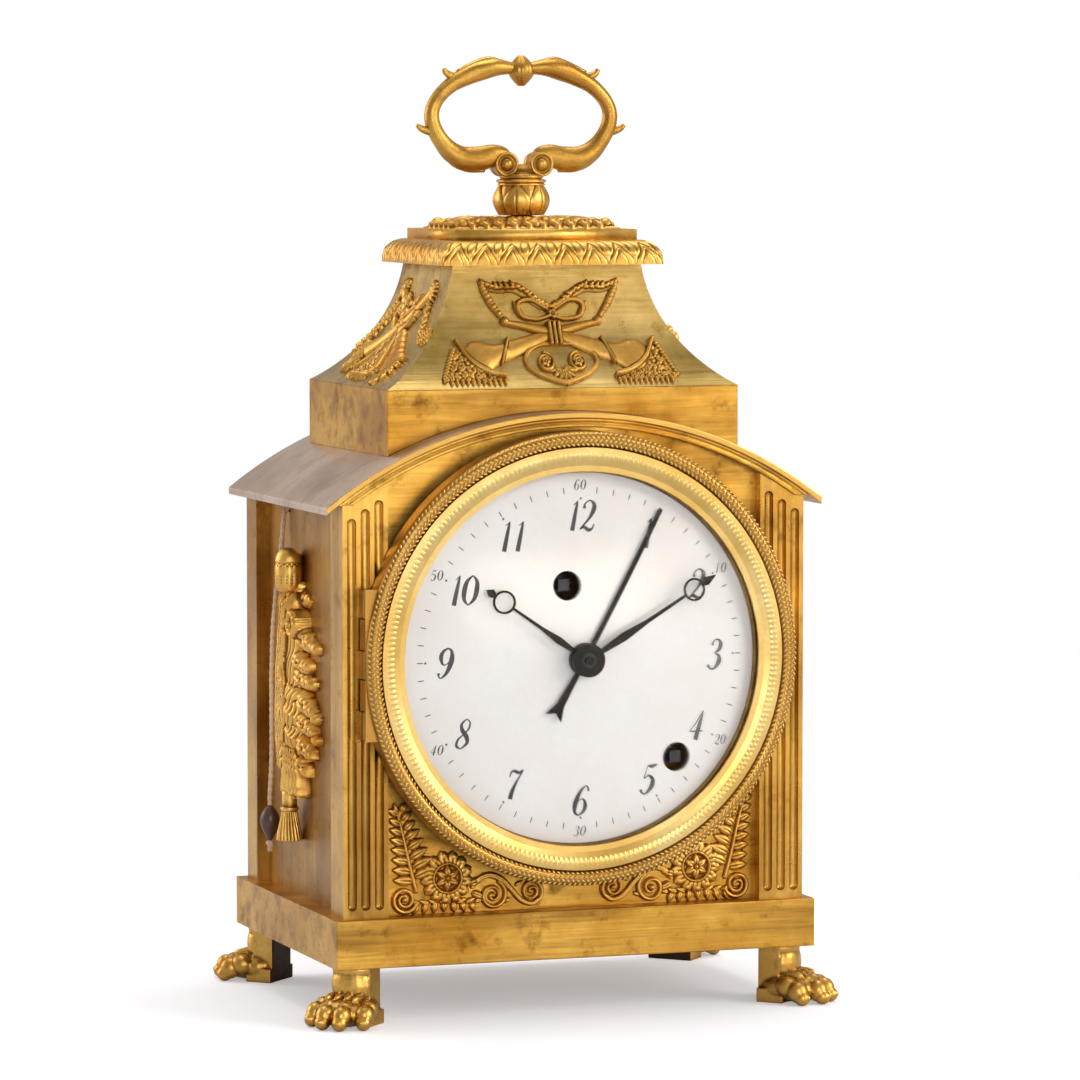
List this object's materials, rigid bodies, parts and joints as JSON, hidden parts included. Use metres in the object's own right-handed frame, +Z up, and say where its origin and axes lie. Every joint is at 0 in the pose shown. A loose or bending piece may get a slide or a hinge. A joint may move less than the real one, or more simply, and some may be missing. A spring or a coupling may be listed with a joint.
{
  "type": "officer's travelling clock",
  "caption": "Small gilt brass travelling clock with an arched roof, paw feet, round glazed dial with hour, minute and alarm hands, top handle, back door and pull cord.",
  "frame": {"origin": "centre of the ground contact, under the middle of the bounding box", "axes": "+Z up from the ground, -Y toward the viewer of the dial, +X to the viewer's right"},
  "size_m": [0.1286, 0.0973, 0.215],
  "materials": {
    "worn_gilt_brass": "gilt brass, brushed and worn, with brown patches at the edges",
    "pale_roof_brass": "gilt brass dulled to a pale grey pink",
    "matt_gilt_mounts": "cast and chased ornament, matt orange gilding",
    "bright_gilt": "cast, chased and burnished gilding",
    "movement_brass": "polished yellow brass",
    "bell_metal": "turned grey bell metal",
    "steel": "cut grey steel",
    "blued_steel": "dark blued steel",
    "enamel": "white vitreous enamel with painted black figures",
    "glass": "clear domed glass",
    "twisted_cord": "twisted beige cord",
    "bead_wood": "turned dark brown wood"
  },
  "bodies": {
    "case": {"base_plinth": "worn_gilt_brass", "foot_front_left": "matt_gilt_mounts", "foot_front_right": "matt_gilt_mounts", "foot_back_left": "matt_gilt_mounts", "foot_back_right": "matt_gilt_mounts", "foot_screws": "steel", "post_front_left": "worn_gilt_brass", "post_front_right": "worn_gilt_brass", "post_back_left": "worn_gilt_brass", "post_back_right": "worn_gilt_brass", "front_plate": "worn_gilt_brass", "left_panel": "worn_gilt_brass", "right_panel": "worn_gilt_brass", "archivolt": "worn_gilt_brass", "back_frame": "worn_gilt_brass", "barrel_roof": "pale_roof_brass", "attic_block": "worn_gilt_brass", "pagoda_roof": "worn_gilt_brass", "cornice": "bright_gilt", "leaf_mound": "bright_gilt", "bud_finial": "bright_gilt", "handle": "bright_gilt", "handle_stem": "steel", "left_spandrel": "matt_gilt_mounts", "right_spandrel": "matt_gilt_mounts", "front_trophy": "matt_gilt_mounts", "left_trophy": "matt_gilt_mounts", "right_trophy": "matt_gilt_mounts", "left_pendant": "matt_gilt_mounts", "right_pendant": "matt_gilt_mounts", "hinge_pins": "steel", "dial": "enamel", "front_movement_plate": "movement_brass", "back_movement_plate": "movement_brass", "movement_pillars": "movement_brass", "balance_cock": "movement_brass", "bell": "bell_metal"},
    "bezel": {"bezel": "bright_gilt", "bezel_glass": "glass"},
    "back_door": {"back_door": "worn_gilt_brass"},
    "latch": {"door_latch": "bright_gilt"},
    "minute_hand_set": {"minute_hand": "blued_steel", "cannon_pinion": "steel"},
    "hour_hand_set": {"hour_hand": "blued_steel", "hour_wheel": "movement_brass"},
    "alarm_hand_set": {"alarm_hand": "blued_steel", "alarm_wheel": "movement_brass"},
    "minute_wheel": {"minute_wheel": "movement_brass"},
    "fourth_wheel": {"fourth_wheel": "movement_brass"},
    "third_wheel": {"third_wheel": "movement_brass"},
    "centre_wheel": {"centre_wheel": "movement_brass"},
    "escape_wheel": {"escape_wheel": "movement_brass"},
    "going_barrel": {"going_barrel": "movement_brass"},
    "going_arbor": {"going_arbor": "steel"},
    "alarm_arbor": {"alarm_arbor": "steel"},
    "balance": {"balance_wheel": "movement_brass"},
    "repeat_lever": {"repeat_lever": "steel"},
    "pull": {"pull_cord": "twisted_cord", "cord_bead": "bead_wood"},
    "hammer": {"hammer": "steel"}
  },
  "joints": [
    {"name": "bezel_hinge", "type": "hinge", "parent": "case", "child": "bezel", "pos_m": [-0.0496, -0.03724, 0.08035], "axis": [0, 0, -1], "range_deg": [0, 100]},
    {"name": "door_hinge", "type": "hinge", "parent": "case", "child": "back_door", "pos_m": [0.0382, 0.03926, 0.07], "axis": [0, 0, -1], "range_deg": [0, 115]},
    {"name": "latch_turn", "type": "hinge", "parent": "back_door", "child": "latch", "pos_m": [-0.0334, 0.03786, 0.075], "axis": [0, -1, 0], "range_deg": [0, 90]},
    {"name": "minute_turn", "type": "hinge", "parent": "case", "child": "minute_hand_set", "pos_m": [0, -0.04024, 0.08035], "axis": [0, 1, 0], "continuous": true},
    {"name": "hour_turn", "type": "hinge", "parent": "case", "child": "hour_hand_set", "pos_m": [0, -0.04024, 0.08035], "axis": [0, 1, 0], "continuous": true},
    {"name": "alarm_turn", "type": "hinge", "parent": "case", "child": "alarm_hand_set", "pos_m": [0, -0.04024, 0.08035], "axis": [0, 1, 0], "continuous": true},
    {"name": "minute_wheel_turn", "type": "hinge", "parent": "case", "child": "minute_wheel", "pos_m": [-0.00799, -0.03154, 0.07433], "axis": [0, 1, 0], "continuous": true},
    {"name": "fourth_turn", "type": "hinge", "parent": "case", "child": "fourth_wheel", "pos_m": [-0.0176, 0.00216, 0.06424], "axis": [0, 1, 0], "continuous": true},
    {"name": "third_turn", "type": "hinge", "parent": "case", "child": "third_wheel", "pos_m": [-0.01353, 0.00216, 0.07543], "axis": [0, 1, 0], "continuous": true},
    {"name": "centre_turn", "type": "hinge", "parent": "case", "child": "centre_wheel", "pos_m": [0, 0.00216, 0.08035], "axis": [0, 1, 0], "continuous": true},
    {"name": "escape_turn", "type": "hinge", "parent": "case", "child": "escape_wheel", "pos_m": [-0.00877, 0.00216, 0.05914], "axis": [0, 1, 0], "continuous": true},
    {"name": "barrel_turn", "type": "hinge", "parent": "case", "child": "going_barrel", "pos_m": [-0.0038, 0.00216, 0.0968], "axis": [0, 1, 0], "continuous": true},
    {"name": "going_winding", "type": "hinge", "parent": "case", "child": "going_arbor", "pos_m": [-0.0038, 0.00216, 0.0968], "axis": [0, 1, 0], "continuous": true},
    {"name": "alarm_winding", "type": "hinge", "parent": "case", "child": "alarm_arbor", "pos_m": [0.0227, 0.00216, 0.0575], "axis": [0, 1, 0], "continuous": true},
    {"name": "balance_swing", "type": "hinge", "parent": "case", "child": "balance", "pos_m": [-0.00177, 0.00746, 0.05914], "axis": [0, 1, 0], "range_deg": [-150, 150], "stiffness_Nm_per_rad": 0.00002},
    {"name": "cord_pull", "type": "slide", "parent": "case", "child": "pull", "axis": [0, 0, -1], "range_m": [0, 0.0085], "stiffness_N_per_m": 20, "deforming": ["pull_cord"]},
    {"name": "lever_turn", "type": "hinge", "parent": "case", "child": "repeat_lever", "pos_m": [-0.04, 0.01486, 0.097], "axis": [0, -1, 0], "range_deg": [0, 31.1]},
    {"name": "hammer_swing", "type": "hinge", "parent": "case", "child": "hammer", "pos_m": [-0.034, 0.01486, 0.052], "axis": [0, -1, 0], "range_deg": [0, 20], "stiffness_Nm_per_rad": 0.004}
  ],
  "couplings": [
    {"joint": "hour_turn", "follows": "minute_turn", "ratio": 0.083333},
    {"joint": "minute_wheel_turn", "follows": "minute_turn", "ratio": -0.33333},
    {"joint": "centre_turn", "follows": "fourth_turn", "ratio": 0.016667},
    {"joint": "third_turn", "follows": "fourth_turn", "ratio": -0.13333},
    {"joint": "escape_turn", "follows": "fourth_turn", "ratio": -7.5},
    {"joint": "barrel_turn", "follows": "fourth_turn", "ratio": -0.0025641},
    {"joint": "lever_turn", "follows": "cord_pull", "rad_per_m": 63.803}
  ]
}
